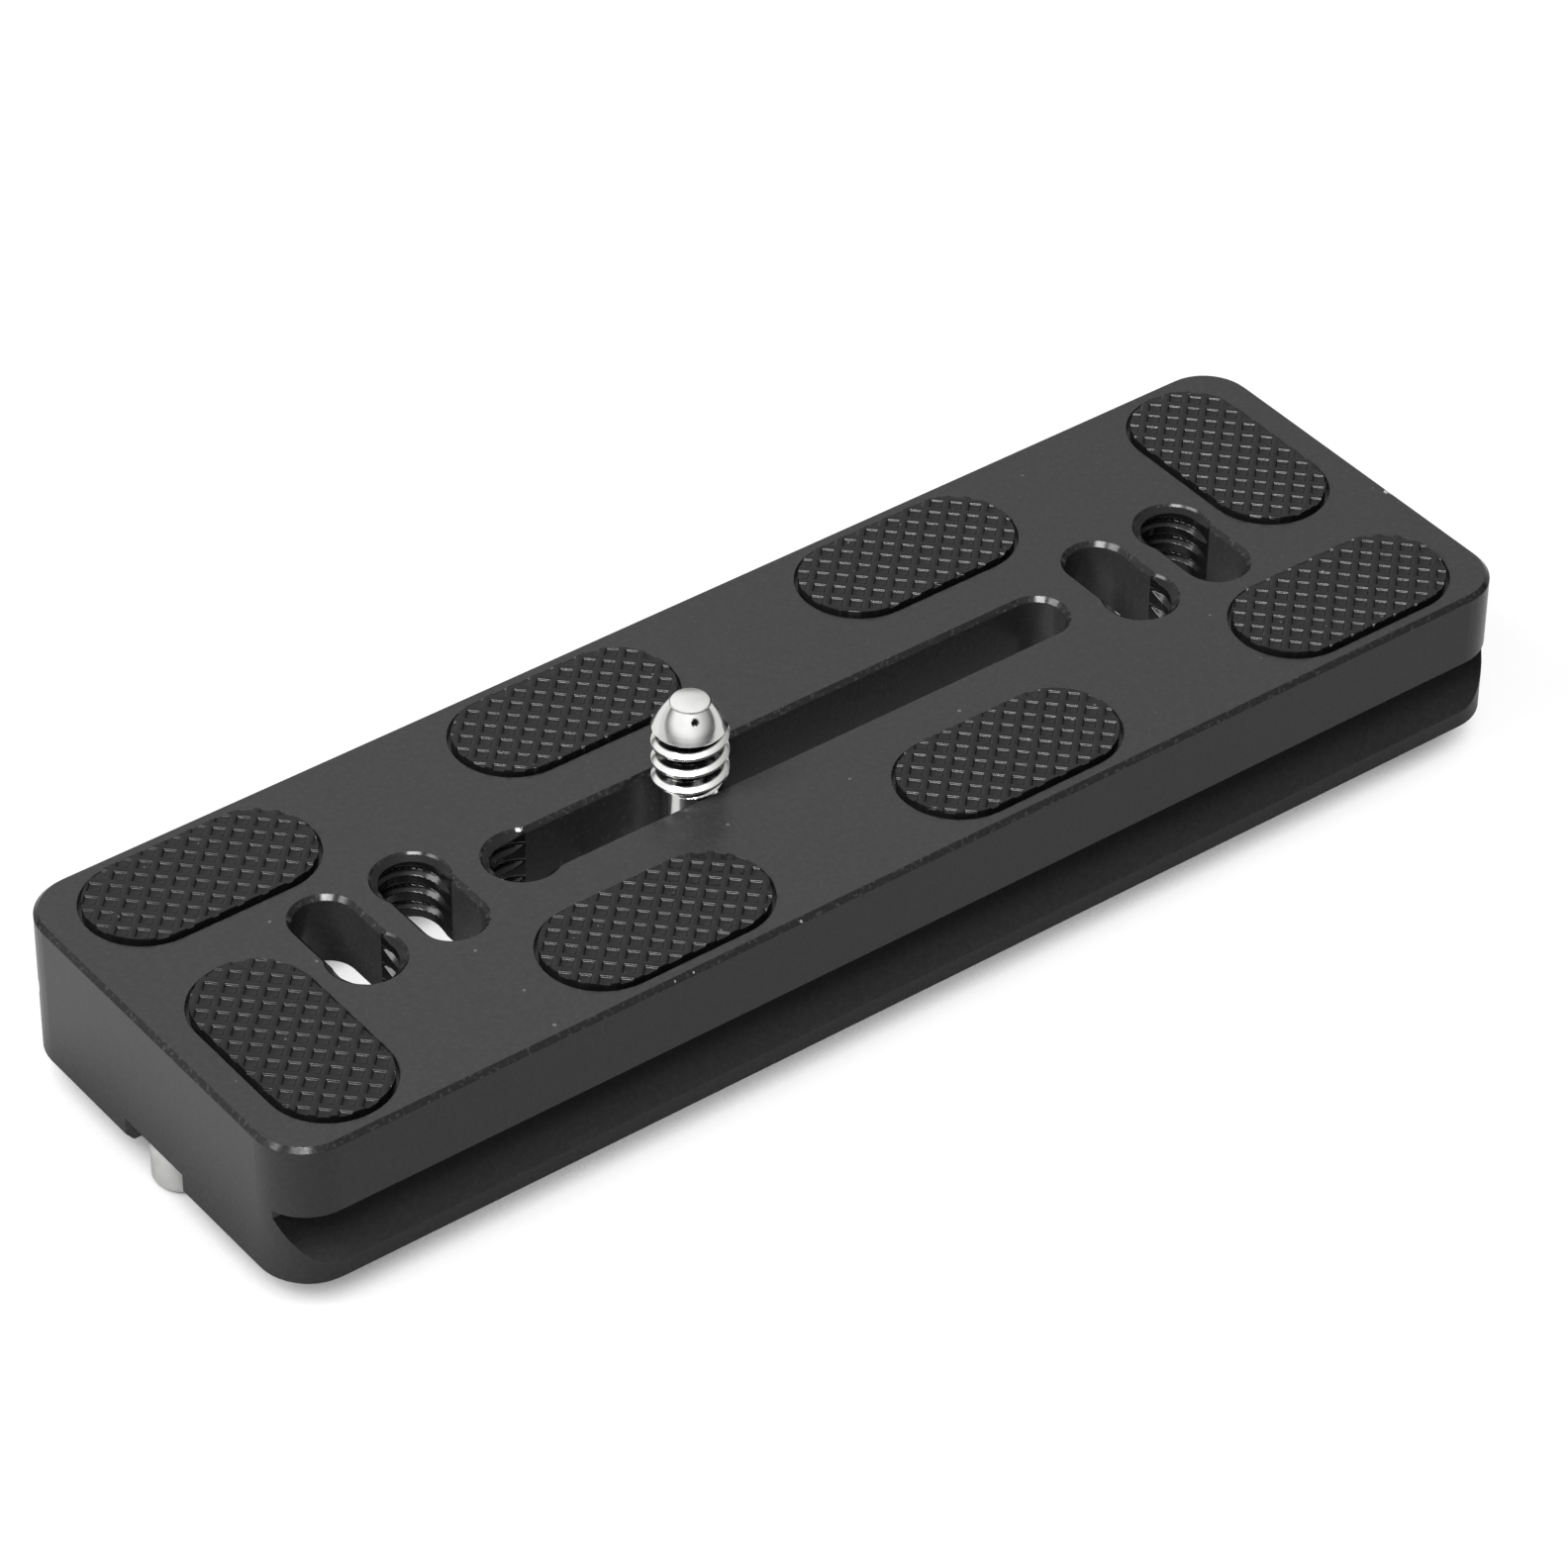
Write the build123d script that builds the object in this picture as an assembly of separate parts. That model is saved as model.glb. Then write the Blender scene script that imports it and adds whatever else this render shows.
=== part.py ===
from build123d import *

import os

os.makedirs("parts", exist_ok=True)

# Units are millimetres, +Z is up, +X runs along the plate and +Y across it.
# The origin is under the plate's centre, level with the feet of the stop screws.

# Plate block
PLATE_L = 120.0
PLATE_W = 38.0
PLATE_H = 13.7
CORNER_R = 4.5
EDGE_CHAMFER = 0.4
FLANGE_EDGE_CHAMFER = 0.2

# Dovetail along both long sides: a lip, a sloping flank and a low upright wall under the flange
FLANGE_H = 6.85
LIP_H = 1.9
GROOVE_DEPTH = 2.9
GROOVE_WALL_H = 0.5

# Hollow underside, with a solid block left at each end
WEB_T = 6.4
RECESS_W = 25.0
END_BLOCK = 10.0
RECESS_CORNER_R = 4.0
RECESS_CHAMFER = 0.4

# Central slot
SLOT_L = 55.8
SLOT_W = 4.8
SLOT_CHAMFER = 0.4

# Tapped bores, to the root of their thread
TAP_D = 6.2
TAP_CHAMFER = 0.2

# Two short slots across the plate near each end, tapped at one end each
CROSS_SLOT_L = 10.7
CROSS_SLOT_W = 5.1
CROSS_SLOT_X = 38.0
CROSS_SLOT_PITCH = 8.0

# Grip pads in their pockets
PAD_L = 19.9
PAD_W = 9.9
PAD_GAP = 0.3
PAD_POCKET_DEPTH = 0.7
PAD_PROUD = 0.45
PAD_EDGE_R = 0.25
PAD_SIDE_MARGIN = 1.55
PAD_END_MARGIN = 3.15
PAD_PITCH = 34.4

# Stop screws under the two ends
STOP_HEAD_D = 5.2
STOP_PROUD = 2.1
STOP_INSET = 2.7
STOP_RIM_CHAMFER = 0.35
STOP_HEX = 2.5
STOP_HEX_DEPTH = 2.0
STOP_SHANK_D = 2.9
STOP_SHANK_L = 6.0
STOP_HOLE_GAP = 0.05
STOP_HOLE_SPARE = 0.8
STOP_POCKET_DEPTH = 2.0
STOP_POCKET_GAP = 0.4
STOP_POCKET_CHAMFER = 0.5
STOP_MOUTH_FLARE = 1.0

# Captive camera screw
SCREW_X = -9.4
THREAD_D = 6.2
TIP_PROUD = 7.7
TIP_D = 3.2
TIP_CONE_H = 2.5
SCREW_NECK_D = 4.4
SEAT_GAP = 0.15
HEAD_D = 14.4
HEAD_T = 1.5
HEAD_CHAMFER = 0.3
BOSS_D = 6.0
BOSS_FLOOR = 1.2
COIN_SLOT_W = 1.4
COIN_SLOT_DEPTH = 0.7

# Washer between the screw head and the web
WASHER_D = 11.0
WASHER_T = 0.5
WASHER_BORE_GAP = 0.1
LIFT_PLAY = 0.4

# Wire ring through the boss of the screw head
RING_WIRE_D = 1.8
RING_HALF_W = 5.5
RING_REACH = 4.9
RING_SHOULDER = 3.0
RING_NOSE_HALF_W = 2.4
RING_BEND_R = 1.5
RING_HOLE_GAP = 0.08
RING_HEAD_GAP = 0.25

# How far a cutting tool runs past the face that it opens
OVERCUT = 1.0

# Levels that follow from the sizes above
PLATE_Z = STOP_PROUD
TOP_Z = PLATE_Z + PLATE_H
FLANGE_Z = TOP_Z - FLANGE_H
LIP_Z = PLATE_Z + LIP_H
WEB_Z = TOP_Z - WEB_T
PAD_FLOOR_Z = TOP_Z - PAD_POCKET_DEPTH
STOP_SEAT_Z = PLATE_Z + STOP_POCKET_DEPTH

# The screw's seating cone follows the slot's chamfer at 45 degrees
SEAT_R = SLOT_W / 2 + SLOT_CHAMFER - SEAT_GAP
THREAD_END_Z = TOP_Z + THREAD_D / 2 - SEAT_R
NECK_TOP_Z = TOP_Z + SCREW_NECK_D / 2 - SEAT_R
TIP_Z = TOP_Z + TIP_PROUD
WASHER_TOP_Z = WEB_Z - LIFT_PLAY
HEAD_TOP_Z = WASHER_TOP_Z - WASHER_T
HEAD_Z = HEAD_TOP_Z - HEAD_T
RING_Z = HEAD_Z - RING_HEAD_GAP - RING_WIRE_D / 2
BOSS_Z = RING_Z - RING_WIRE_D / 2 - RING_HOLE_GAP - BOSS_FLOOR

# Places that follow from the sizes above
STOP_X = PLATE_L / 2 - STOP_INSET
SLOT_END_X = (SLOT_L - SLOT_W) / 2
CROSS_END_Y = (CROSS_SLOT_L - CROSS_SLOT_W) / 2
PAD_ROW_Y = PLATE_W / 2 - PAD_SIDE_MARGIN - PAD_W / 2
PAD_FIRST_X = -(PLATE_L / 2 - PAD_END_MARGIN - PAD_L / 2)
PAD_CROSS_X = PLATE_L / 2 - PAD_END_MARGIN - PAD_W / 2
PAD_CROSS_Y = PLATE_W / 2 - PAD_SIDE_MARGIN - PAD_L / 2

# Name, centre and turn of each pad; the front half is the back half turned by 180 degrees
BACK_PADS = [
    ("grip_pad_back_left", PAD_FIRST_X, PAD_ROW_Y, 0),
    ("grip_pad_back_middle", PAD_FIRST_X + PAD_PITCH, PAD_ROW_Y, 0),
    ("grip_pad_back_right", PAD_FIRST_X + 2 * PAD_PITCH, PAD_ROW_Y, 0),
    ("grip_pad_right_end", PAD_CROSS_X, PAD_CROSS_Y, 90),
]
FRONT_NAMES = ["grip_pad_front_right", "grip_pad_front_middle", "grip_pad_front_left", "grip_pad_left_end"]
FRONT_PADS = [(name, -x, -y, turn) for name, (_, x, y, turn) in zip(FRONT_NAMES, BACK_PADS)]
PADS = BACK_PADS + FRONT_PADS


def slot_tool(length, width, low, high, x, y, turn, rim_z=None, rim=0.0):
    """Round-ended cutter between two levels; at rim_z it widens by rim, at 45 degrees."""
    place = Pos(x, y, 0) * Rot(0, 0, turn)
    tool = extrude(place * Pos(0, 0, low) * SlotOverall(length, width), high - low)
    if rim_z is None:
        return tool
    outline = place * Pos(0, 0, rim_z) * SlotOverall(length + 2 * rim, width + 2 * rim)
    inward = -rim if rim_z > (low + high) / 2 else rim
    return tool + extrude(outline, inward, taper=45)


def tap_tool(x, y):
    """Tapped bore through the web, with its small countersink."""
    radius = TAP_D / 2
    bore = Cylinder(radius, WEB_T + 2 * OVERCUT)
    bore = Pos(x, y, TOP_Z - WEB_T / 2) * bore
    sink = Cone(radius, radius + TAP_CHAMFER, TAP_CHAMFER)
    return bore + Pos(x, y, TOP_Z - TAP_CHAMFER / 2) * sink


def turned(profile, x):
    """Solid of revolution about a vertical axis, from (radius, height) points."""
    outline = make_face(Polyline(*[(r, 0, z) for r, z in profile], close=True))
    return Pos(x, 0, 0) * revolve(outline, Axis.Z)


def plate_block():
    """Rounded block with both long sides cut to a dovetail and its edges broken."""
    block = extrude(Pos(0, 0, PLATE_Z) * RectangleRounded(PLATE_L, PLATE_W, CORNER_R), PLATE_H)
    faces = block.faces().sort_by(Axis.Z)
    block = chamfer(faces[0].edges() + faces[-1].edges(), EDGE_CHAMFER)

    half_w = PLATE_W / 2
    half_neck = half_w - GROOVE_DEPTH
    flank_top = FLANGE_Z - GROOVE_WALL_H
    flank_slope = (flank_top - LIP_Z) / GROOVE_DEPTH
    groove = make_face(
        Polyline(
            (0, half_neck, FLANGE_Z),
            (0, half_w + OVERCUT, FLANGE_Z),
            (0, half_w + OVERCUT, LIP_Z - flank_slope * OVERCUT),
            (0, half_neck, flank_top),
            close=True,
        )
    )
    cutter = extrude(groove, PLATE_L / 2 + OVERCUT, dir=(1, 0, 0), both=True)
    block = block - cutter - Rot(0, 0, 180) * cutter

    flange_edges = block.edges().filter_by_position(Axis.Z, FLANGE_Z - 1e-4, FLANGE_Z + 1e-4)
    rim = [e for e in flange_edges if abs(e.center().Y) > half_neck + 1e-3]
    return chamfer(rim, FLANGE_EDGE_CHAMFER)


def underside_cutters():
    """Hollow under the web, and the pocket and hole for the stop screw at each end."""
    length = PLATE_L - 2 * END_BLOCK
    hollow = extrude(
        Pos(0, 0, PLATE_Z - OVERCUT) * RectangleRounded(length, RECESS_W, RECESS_CORNER_R),
        WEB_Z - PLATE_Z + OVERCUT,
    )
    mouth = RectangleRounded(
        length + 2 * RECESS_CHAMFER, RECESS_W + 2 * RECESS_CHAMFER, RECESS_CORNER_R + RECESS_CHAMFER
    )
    tools = [hollow + extrude(Pos(0, 0, PLATE_Z) * mouth, RECESS_CHAMFER, taper=45)]

    pocket_w = STOP_HEAD_D + 2 * STOP_POCKET_GAP
    pocket_l = STOP_INSET + OVERCUT + pocket_w
    pocket = slot_tool(
        pocket_l,
        pocket_w,
        PLATE_Z - OVERCUT,
        STOP_SEAT_Z,
        STOP_X + (pocket_l - pocket_w) / 2,
        0,
        0,
        PLATE_Z,
        STOP_POCKET_CHAMFER,
    )
    end_x = PLATE_L / 2
    half_mouth = pocket_w / 2 + STOP_MOUTH_FLARE
    flare = make_face(
        Polyline(
            (end_x - STOP_MOUTH_FLARE, pocket_w / 2),
            (end_x, half_mouth),
            (end_x + OVERCUT, half_mouth),
            (end_x + OVERCUT, -half_mouth),
            (end_x, -half_mouth),
            (end_x - STOP_MOUTH_FLARE, -pocket_w / 2),
            close=True,
        )
    )
    flare = extrude(Pos(0, 0, PLATE_Z - OVERCUT) * flare, STOP_POCKET_DEPTH + OVERCUT)
    hole_l = STOP_SHANK_L + STOP_HOLE_SPARE
    hole = Pos(STOP_X, 0, STOP_SEAT_Z + hole_l / 2) * Cylinder(STOP_SHANK_D / 2 + STOP_HOLE_GAP, hole_l)
    end_tool = pocket + flare + hole
    return tools + [end_tool, Rot(0, 0, 180) * end_tool]


def top_cutters():
    """Central slot, cross slots, their tapped bores and the pad pockets."""
    low = WEB_Z - OVERCUT
    high = TOP_Z + OVERCUT
    tools = [slot_tool(SLOT_L, SLOT_W, low, high, 0, 0, 0, TOP_Z, SLOT_CHAMFER), tap_tool(-SLOT_END_X, 0)]
    for side in (-1, 1):
        for outer in (-1, 1):
            x = side * (CROSS_SLOT_X + outer * CROSS_SLOT_PITCH / 2)
            tools.append(slot_tool(CROSS_SLOT_L, CROSS_SLOT_W, low, high, x, 0, 90, TOP_Z, SLOT_CHAMFER))
            tools.append(tap_tool(x, side * outer * CROSS_END_Y))
    for _, x, y, turn in PADS:
        length = PAD_L + 2 * PAD_GAP
        width = PAD_W + 2 * PAD_GAP
        tools.append(slot_tool(length, width, PAD_FLOOR_Z, high, x, y, turn))
    return tools


def plate():
    """The machined plate, one solid."""
    body = plate_block()
    for tool in underside_cutters() + top_cutters():
        body = body - tool
    return body


def grip_pad(x, y, turn):
    """Round-ended rubber pad on its pocket floor, with a softened top edge."""
    outline = Pos(x, y, PAD_FLOOR_Z) * Rot(0, 0, turn) * SlotOverall(PAD_L, PAD_W)
    pad = extrude(outline, PAD_POCKET_DEPTH + PAD_PROUD)
    return fillet(pad.faces().sort_by(Axis.Z)[-1].edges(), PAD_EDGE_R)


def camera_screw():
    """Captive screw: flat tip, thread outline, seating cone, neck, head and drilled boss."""
    neck_r = SCREW_NECK_D / 2
    head_r = HEAD_D / 2
    screw = turned(
        [
            (0, TIP_Z),
            (TIP_D / 2, TIP_Z),
            (THREAD_D / 2, TIP_Z - TIP_CONE_H),
            (THREAD_D / 2, THREAD_END_Z),
            (neck_r, NECK_TOP_Z),
            (neck_r, HEAD_TOP_Z),
            (head_r - HEAD_CHAMFER, HEAD_TOP_Z),
            (head_r, HEAD_TOP_Z - HEAD_CHAMFER),
            (head_r, HEAD_Z + HEAD_CHAMFER),
            (head_r - HEAD_CHAMFER, HEAD_Z),
            (BOSS_D / 2, HEAD_Z),
            (BOSS_D / 2, BOSS_Z),
            (0, BOSS_Z),
        ],
        SCREW_X,
    )
    ring_hole = Rot(90, 0, 0) * Cylinder(RING_WIRE_D / 2 + RING_HOLE_GAP, BOSS_D + 2 * OVERCUT)
    coin_slot = Box(BOSS_D + 2 * OVERCUT, COIN_SLOT_W, COIN_SLOT_DEPTH + OVERCUT)
    coin_z = BOSS_Z + (COIN_SLOT_DEPTH - OVERCUT) / 2
    return screw - Pos(SCREW_X, 0, RING_Z) * ring_hole - Pos(SCREW_X, 0, coin_z) * coin_slot


def screw_washer():
    """Flat washer on the neck, above the screw head."""
    bore_r = SCREW_NECK_D / 2 + WASHER_BORE_GAP
    outer_r = WASHER_D / 2
    return turned(
        [(bore_r, HEAD_TOP_Z), (outer_r, HEAD_TOP_Z), (outer_r, WASHER_TOP_Z), (bore_r, WASHER_TOP_Z)],
        SCREW_X,
    )


def d_ring():
    """Closed wire ring; its straight side lies in the boss and its nose points to +X when folded."""
    route = FilletPolyline(
        (0, -RING_HALF_W),
        (0, RING_HALF_W),
        (RING_SHOULDER, RING_HALF_W),
        (RING_REACH, RING_NOSE_HALF_W),
        (RING_REACH, -RING_NOSE_HALF_W),
        (RING_SHOULDER, -RING_HALF_W),
        radius=RING_BEND_R,
        close=True,
    )
    section = Plane(origin=route @ 0, z_dir=route % 0) * Circle(RING_WIRE_D / 2)
    return Pos(SCREW_X, 0, RING_Z) * sweep(section, route)


def stop_screw(x):
    """Socket-head screw whose head stands below the plate, with its shank up in the end block."""
    head_r = STOP_HEAD_D / 2
    shank_r = STOP_SHANK_D / 2
    screw = turned(
        [
            (0, 0),
            (head_r - STOP_RIM_CHAMFER, 0),
            (head_r, STOP_RIM_CHAMFER),
            (head_r, STOP_SEAT_Z),
            (shank_r, STOP_SEAT_Z),
            (shank_r, STOP_SEAT_Z + STOP_SHANK_L),
            (0, STOP_SEAT_Z + STOP_SHANK_L),
        ],
        x,
    )
    socket = extrude(Pos(x, 0, 0) * RegularPolygon(STOP_HEX / 2, 6, major_radius=False), STOP_HEX_DEPTH)
    return screw - socket


nodes = {
    "plate_body": plate(),
    "camera_screw": camera_screw(),
    "screw_washer": screw_washer(),
    "d_ring": d_ring(),
    "stop_screw_left": stop_screw(-STOP_X),
    "stop_screw_right": stop_screw(STOP_X),
}
for pad_name, pad_x, pad_y, pad_turn in PADS:
    nodes[pad_name] = grip_pad(pad_x, pad_y, pad_turn)

for node_name, shape in nodes.items():
    export_step(shape, f"parts/{node_name}.step")
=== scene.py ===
import math

import bpy
import numpy as np
from bpy.props import FloatProperty, FloatVectorProperty, IntProperty, PointerProperty
from mathutils import Euler, Matrix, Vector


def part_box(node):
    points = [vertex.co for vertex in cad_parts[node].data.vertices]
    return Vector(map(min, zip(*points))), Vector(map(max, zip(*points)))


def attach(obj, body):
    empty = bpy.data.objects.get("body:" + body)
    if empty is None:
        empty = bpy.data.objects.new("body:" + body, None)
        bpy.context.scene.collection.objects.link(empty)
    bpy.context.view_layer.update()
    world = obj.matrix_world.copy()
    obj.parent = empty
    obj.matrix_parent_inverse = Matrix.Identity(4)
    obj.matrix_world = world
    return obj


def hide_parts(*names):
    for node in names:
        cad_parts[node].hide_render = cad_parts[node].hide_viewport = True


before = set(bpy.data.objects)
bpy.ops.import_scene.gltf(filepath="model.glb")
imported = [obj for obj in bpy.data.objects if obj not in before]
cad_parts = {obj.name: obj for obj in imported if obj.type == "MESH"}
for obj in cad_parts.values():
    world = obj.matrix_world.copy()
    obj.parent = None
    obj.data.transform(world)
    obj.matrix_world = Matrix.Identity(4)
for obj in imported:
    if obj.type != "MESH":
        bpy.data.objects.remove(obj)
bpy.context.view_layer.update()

bl_info = {
    "name": "Quick release plate",
    "version": (1, 0, 0),
    "blender": (4, 5, 0),
    "location": "3D View > Sidebar > Plate",
    "description": "Dresses a tripod quick release plate with pads, threads, finishes and a studio stage",
    "category": "Object",
}

MM = 0.001

# Places read from the solids
SCREW_LOW, SCREW_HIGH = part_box("camera_screw")
RING_LOW, RING_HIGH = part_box("d_ring")
TOP_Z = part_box("plate_body")[1].z
HEAD_TOP_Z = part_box("screw_washer")[0].z
SCREW_X = (SCREW_LOW.x + SCREW_HIGH.x) / 2
HEAD_R = (SCREW_HIGH.x - SCREW_LOW.x) / 2
RING_Z = (RING_LOW.z + RING_HIGH.z) / 2
WIRE_R = (RING_HIGH.z - RING_LOW.z) / 2

PAD_NODES = sorted(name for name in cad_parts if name.startswith("grip_pad"))

# Slots of the plate
WEB_T = 6.4 * MM
SLOT_CHAMFER = 0.4 * MM
SLOT_END_X = 25.5 * MM
SLOT_HALF_W = 2.4 * MM
INNER_SLOT_X = 34.0 * MM
OUTER_SLOT_X = 42.0 * MM
CROSS_END_Y = 2.8 * MM
CROSS_HALF_W = 2.55 * MM

# Name, axis, direction of the round end in degrees and half width of the slot at each tapped bore
TAPPED_BORES = (
    ("central_slot", -SLOT_END_X, 0.0, 180.0, SLOT_HALF_W),
    ("left_outer_slot", -OUTER_SLOT_X, -CROSS_END_Y, -90.0, CROSS_HALF_W),
    ("left_inner_slot", -INNER_SLOT_X, CROSS_END_Y, 90.0, CROSS_HALF_W),
    ("right_inner_slot", INNER_SLOT_X, -CROSS_END_Y, -90.0, CROSS_HALF_W),
    ("right_outer_slot", OUTER_SLOT_X, CROSS_END_Y, 90.0, CROSS_HALF_W),
)

# Pads: shares of the pitch by which the lattice shifts from pad to pad, and how far the cutter stands out
LATTICE_SHIFT = (0.618, 0.382)
LATTICE_START = 0.21
CUT_PAST = 1.0 * MM

# Thread: half of a crest's flat as a share of the pitch, and the straight and rounded shares of a flank
CREST_FLAT = 1 / 16
FLANK_STRAIGHT = 0.8
FLANK_ROUND = 0.2

# Camera screw: rounding of the tip, bulge of the cone, fillets, and a rounding's middle as shares of it
TIP_ROUND = 0.12 * MM
TIP_MIDDLE = (1 / 4, 1 / 3)
TIP_BULGE = 0.06
FILLET = 0.2 * MM
FILLET_MIDDLE = 0.3
# Shares of the cone's height below the tip at which the thread begins, and over which it grows
THREAD_BEGINS = 0.88
THREAD_GROWS = 0.24

# Tapped bores: gaps and backing of the thread, and the countersink's loss of radius over depth
BORE_ROOT_GAP = 0.04 * MM
BORE_FOOT_GAP = 0.01 * MM
BORE_BACKING = 0.03 * MM
SINK_SLOPE = 2.2

# Steps of the grids
WALL_LINES = 5
OUTLINE_STEPS = 420
CONE_LEVELS = 60
SHANK_LEVELS = 190
HOLE_STEPS = 48
BORE_STEPS = 97
BORE_LEVELS = 131
FLOOR_RINGS = 12
FLOOR_STEPS = 96

# Angles in degrees past which an edge stays sharp
PAD_EDGE = 50
SCREW_EDGE = 40
BORE_EDGE = 35

# Small bruises in the black finish along the top edges: place and radius
BRUISES = (
    ((59.7 * MM, -4.1 * MM, 15.75 * MM), 1.0 * MM),
    ((-23.9 * MM, 2.7 * MM, 15.65 * MM), 0.75 * MM),
    ((-24.7 * MM, -18.9 * MM, 15.6 * MM), 0.35 * MM),
    ((-23.0 * MM, -18.9 * MM, 15.6 * MM), 0.3 * MM),
    ((-12.8 * MM, -18.9 * MM, 15.6 * MM), 0.3 * MM),
)

# Dark fleck on the tip of the camera screw: place, edge of the spot and how ragged it is
FLECK_AT = (-10.27 * MM, -1.8 * MM, 22.83 * MM)
FLECK_EDGE = (0.5 * MM, 0.62 * MM)
FLECK_RAG = 0.5 * MM

# All finishes: span of the noise over which mottling goes from dark to light; IOR of the black ones
MOTTLE = (0.3, 0.7)
BLACK_IOR = 1.33

# Black finish: tones, changes of roughness, stretch and height of the milling marks, share and grey of dust
ANODISED_TONES = (0.9, 1.1)
ANODISED_POLISH = (-0.02, 0.03)
MARKS_STRETCH = (1.0, 1.0, 0.04)
MARKS_HEIGHT = 0.6
PLATE_DUST = 0.5
PLATE_DUST_GREY = 0.3
# Z of a normal below which a wall is upright, and above which a face is a flank, a chamfer or level
UPRIGHT = 0.3
FLANK = 0.45
CHAMFER = 0.62
LEVEL = 0.9
# Milled cuts and groove: painted shade on the flanks deep in the groove, a darker tone on chamfers, flecks
# on chamfers, bare bruises, soft edges
GROOVE_Y = (16.7 * MM, 18.9 * MM)
GROOVE_SHADE = 0.97
CHAMFER_SHADE = 0.64
CHAMFER_POLISH = 0.09
# Black that the chamfers take as their milled tone and the groove's flanks take as painted shade
MILLED_AND_SHADE_BLACK = 0.002
CHAMFER_FLECKS = (0.54, 0.68, 0.0, 0.5)
CHAMFER_FLECK_GREY = 0.11
BARE_EDGE = (0.28, 0.4)
EDGE_R = 0.1 * MM

# Rubber: mottling, tones, roughness and dust
RUBBER_MOTTLE = (0.35, 0.72)
RUBBER_TONES = (0.85, 1.25)
RUBBER_ROUGHNESS = (0.2, 0.3)
RUBBER_DUST = 0.4
RUBBER_DUST_GREY = 0.32

# Steel: darker tone, and roughness at both ends of the mottling as shares of its mean
STEEL_DARK = 0.93
STEEL_POLISH = (0.85, 1.2)
# Painted shade in the thread's roots: shares of the thread's depth at its edges, share of the cone left
# unshaded, patches and colour
ROOT_SHADE_DEPTH = (0.6, 0.4)
UNSHADED_CONE = 0.85
ROOT_SHADE_PATCHES = (0.3, 0.5, 0.75, 1.0)
ROOT_SHADE_BLACK = 0.006
# Line round the tip: edges, strength, depth below the tip and colour; and the dark fleck's colour
TIP_LINE = (0.02 * MM, 0.09 * MM)
TIP_LINE_SHARE = 0.75
TIP_LINE_DEPTH = 0.3 * MM
TIP_LINE_GREY = 0.12
FLECK_BLACK = 0.01

# Floor: radius of its innermost ring and of the bend at its rim
FLOOR_FIRST_R = 0.05
FLOOR_BEND = 0.5
# Shade under the plate: its reach, its limits to the camera and to gloss, and the share of mirrored glow
SHADE_REACH = 8 * MM
SEEN_SHADE = (0.03, 0.6)
MIRRORED_SHADE = (0.62, 1.0)
MIRRORED_GLOW = 0.75
# Room: direction of its lit side, limits of that side and of the horizon, and how dim both are at least
LIT_SIDE = (-0.76, 0.25, 0.6)
SIDE_LIMITS = (-0.5, 0.5)
SIDE_DIM = 0.45
HORIZON_LIMITS = (0.18, 0.42)
HORIZON_DIM = 0.12

# Name, place, width, height and power setting of each lamp, their aim, and the one that only gloss shows
LAMPS = (
    ("key_lamp", (-0.58, 0.14, 0.70), 0.4, 0.4, "key"),
    ("flash", (-0.32, -0.30, 0.56), 0.3, 0.1, "flash"),
    ("overhead_lamp", (-0.16, -0.2, 0.85), 0.6, 0.6, "overhead"),
    ("glint_strip", (-0.33, -0.28, 0.57), 0.3, 0.16, "glint"),
)
LAMP_AIM = (0, 0, 12 * MM)
GLOSS_LAMP = "glint_strip"

# Camera: place, turn in degrees, sensor in millimetres and nearest distance
CAMERA_AT = (-250.85 * MM, -325.41 * MM, 341.96 * MM)
CAMERA_TURN = (51.115, -0.566, -37.161)
SENSOR_W = 36.0
CAMERA_NEAR = 0.01


class PadSettings(bpy.types.PropertyGroup):
    """Sizes and colour of the rubber grip pads."""

    pitch: FloatProperty(name="Dimple pitch", description="Distance between neighbouring dimples",
                         default=1.6 * MM, unit="LENGTH", precision=5)
    side: FloatProperty(name="Dimple side", description="Side of one square dimple at its rim",
                        default=1.14 * MM, unit="LENGTH", precision=5)
    depth: FloatProperty(name="Dimple depth", description="Depth of a dimple below the pad's top",
                         default=0.17 * MM, unit="LENGTH", precision=5)
    wall: FloatProperty(name="Dimple wall", description="Width of a dimple's sloping wall",
                        default=0.16 * MM, unit="LENGTH", precision=5)
    rag: FloatProperty(name="Ragged edge", description="How far the cut edge wanders inwards",
                       default=0.07 * MM, unit="LENGTH", precision=5)
    colour: FloatVectorProperty(name="Rubber", description="Colour of the rubber", subtype="COLOR",
                                default=(0.012, 0.012, 0.0124), min=0.0, max=1.0)


class ThreadSettings(bpy.types.PropertyGroup):
    """Sizes of the thread on the screw and in the tapped bores."""

    pitch: FloatProperty(name="Pitch",
                         description="Rise of the thread in one turn, drawn out like the plate's height",
                         default=1.67 * MM, unit="LENGTH", precision=5)
    radius: FloatProperty(name="Outer radius", description="Radius over the screw's crests",
                          default=3.1 * MM, unit="LENGTH", precision=5)
    depth: FloatProperty(name="Depth", description="Depth of the screw's thread",
                         default=0.78 * MM, unit="LENGTH", precision=5)
    flank: FloatProperty(name="Flank", description="Height of one flank along the axis",
                         default=0.56 * MM, unit="LENGTH", precision=5)
    start: FloatProperty(name="Start", description="Share of a turn by which the screw's thread is turned",
                         default=0.21, subtype="FACTOR", min=0.0, max=1.0)
    sink: FloatProperty(name="Bore countersink",
                        description="Radius of a tapped bore's countersink at the top",
                        default=3.3 * MM, unit="LENGTH", precision=5)


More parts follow.
